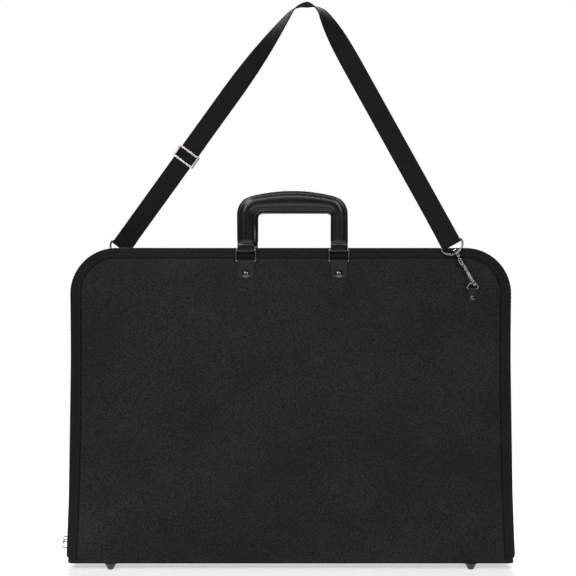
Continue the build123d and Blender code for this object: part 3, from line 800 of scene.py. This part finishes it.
def make_case():
    """Covers, spine, tabs and grips."""
    spine = make_spine()
    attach(spine, "spine")
    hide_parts("spine_skin")
    for prefix, side in SIDES.items():
        cover = f"{prefix}_cover"
        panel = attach(make_panel(prefix, side), cover)
        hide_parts(f"{prefix}_cover_skin")
        band, stitches = make_binding(prefix, side)
        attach(band, cover)
        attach(stitches, cover)
        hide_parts(f"{prefix}_cover_binding")
        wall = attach(make_wall(prefix, side), cover)
        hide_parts(f"{prefix}_gusset_wall")
        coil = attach(make_coil(prefix, side), cover)
        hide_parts(f"{prefix}_zip_chain")
        make_fold_strip(prefix, side)
        for word, x in (("left", -LOOP_SPREAD), ("right", LOOP_SPREAD)):
            name = f"{prefix}_{word}_tab"
            tab = make_tab(name, cover, HANDLE_X[prefix] + x, 25.0, 427.5, LOOP_AXIS, 1.7, 1.2, side)
        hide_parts(f"{prefix}_handle_tabs")
        bar_z = RING_BAR_Z[prefix]
        name = f"{prefix}_ring_tab"
        small = make_tab(name, cover, 265.5, 11.0, bar_z - 19, (25.1, bar_z), 1.5, 1.0, side)
        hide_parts(f"{prefix}_strap_tab")
        grip = make_grip(prefix, side, HANDLE_X[prefix])
        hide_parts(f"{prefix}_handle_grip")


def soft_light(name, place, target, width, height, power):
    """A large soft box."""
    lamp = bpy.data.lights.new(name, "AREA")
    lamp.shape = "RECTANGLE"
    lamp.size = width
    lamp.size_y = height
    lamp.energy = power
    made = bpy.data.objects.new(name, lamp)
    made.location = place
    made.rotation_euler = (Vector(target) - Vector(place)).to_track_quat("-Z", "Y").to_euler()
    bpy.context.scene.collection.objects.link(made)


def make_studio():
    """Camera, lights and the pale floor."""
    scene = bpy.context.scene
    scene.view_settings.view_transform = "Standard"
    camera = bpy.data.cameras.new("camera")
    camera.lens = 64.05
    camera.sensor_width = 36.0
    eye = bpy.data.objects.new("camera", camera)
    eye.location = (-0.004, -1.522, 0.4136)
    eye.rotation_euler = (math.pi / 2, 0, 0)
    scene.collection.objects.link(eye)
    scene.camera = eye
    soft_light("key", (-1.3, -2.2, 1.9), (0, 0, 0.35), 0.8, 0.8, 21)
    soft_light("fill", (1.3, -2.2, 1.5), (0, 0, 0.4), 0.5, 0.9, 5)
    soft_light("floor", (0, 1.3, 1.9), (0, 0.1, 0), 2.0, 1.0, 60)
    soft_light("low", (0, -1.6, 1.1), (0, -0.5, 0), 1.6, 0.3, 7)
    soft_light("glint_left", (-0.6, -1.7, 0.66), (0, 0, 0.5), 0.08, 0.5, 3.4)
    soft_light("glint_right", (0.75, -1.7, 0.66), (0, 0, 0.5), 0.08, 0.5, 2.6)
    world = bpy.data.worlds.new("studio")
    scene.world = world
    world.use_nodes = True
    tree = world.node_tree
    seen = node(tree, "ShaderNodeBackground", Color=(1, 1, 1, 1), Strength=1.0).outputs[0]
    felt = tree.nodes["Background"]
    felt.inputs["Color"].default_value = (1, 1, 1, 1)
    felt.inputs["Strength"].default_value = 0.14
    direct = node(tree, "ShaderNodeLightPath").outputs["Is Camera Ray"]
    mixed = node(tree, "ShaderNodeMixShader", i0=direct, i1=felt.outputs[0], i2=seen)
    tree.links.new(mixed.outputs[0], tree.nodes["World Output"].inputs["Surface"])
    material, tree, shader = start_material("pale_floor", rough=0.9, specular=0.1)
    place = node(tree, "ShaderNodeTexCoord").outputs["Object"]
    mottle = node(tree, "ShaderNodeTexNoise", Vector=place, Scale=3.0, Detail=3.0)
    feed(tree, shader, "Base Color", ramp(tree, mottle.outputs["Fac"], [(0.3, 0.88), (0.7, 0.9)]))
    shader.inputs["Emission Color"].default_value = (1, 1, 1, 1)
    shader.inputs["Emission Strength"].default_value = 0.5
    reach = node(tree, "ShaderNodeVectorMath", {"operation": "LENGTH"}, i0=place)
    smooth = {"interpolation_type": "SMOOTHSTEP"}
    fade = node(tree, "ShaderNodeMapRange", smooth, i0=reach.outputs["Value"], i1=0.45, i2=1.3).outputs[0]
    clear = node(tree, "ShaderNodeBsdfTransparent").outputs[0]
    faded = node(tree, "ShaderNodeMixShader", i0=fade, i1=shader.outputs[0], i2=clear)
    tree.links.new(faded.outputs[0], tree.nodes["Material Output"].inputs["Surface"])
    mesh = bpy.data.meshes.new("floor")
    mesh.from_pydata([(-7, -7, 0), (7, -7, 0), (7, 7, 0), (-7, 7, 0)], [], [(0, 1, 2, 3)])
    mesh.materials.append(material)
    floor = bpy.data.objects.new("floor", mesh)
    scene.collection.objects.link(floor)


dress_nodes()
make_case()
make_webbing()
for which in SIDES:
    make_strap_fold(which)
make_studio()
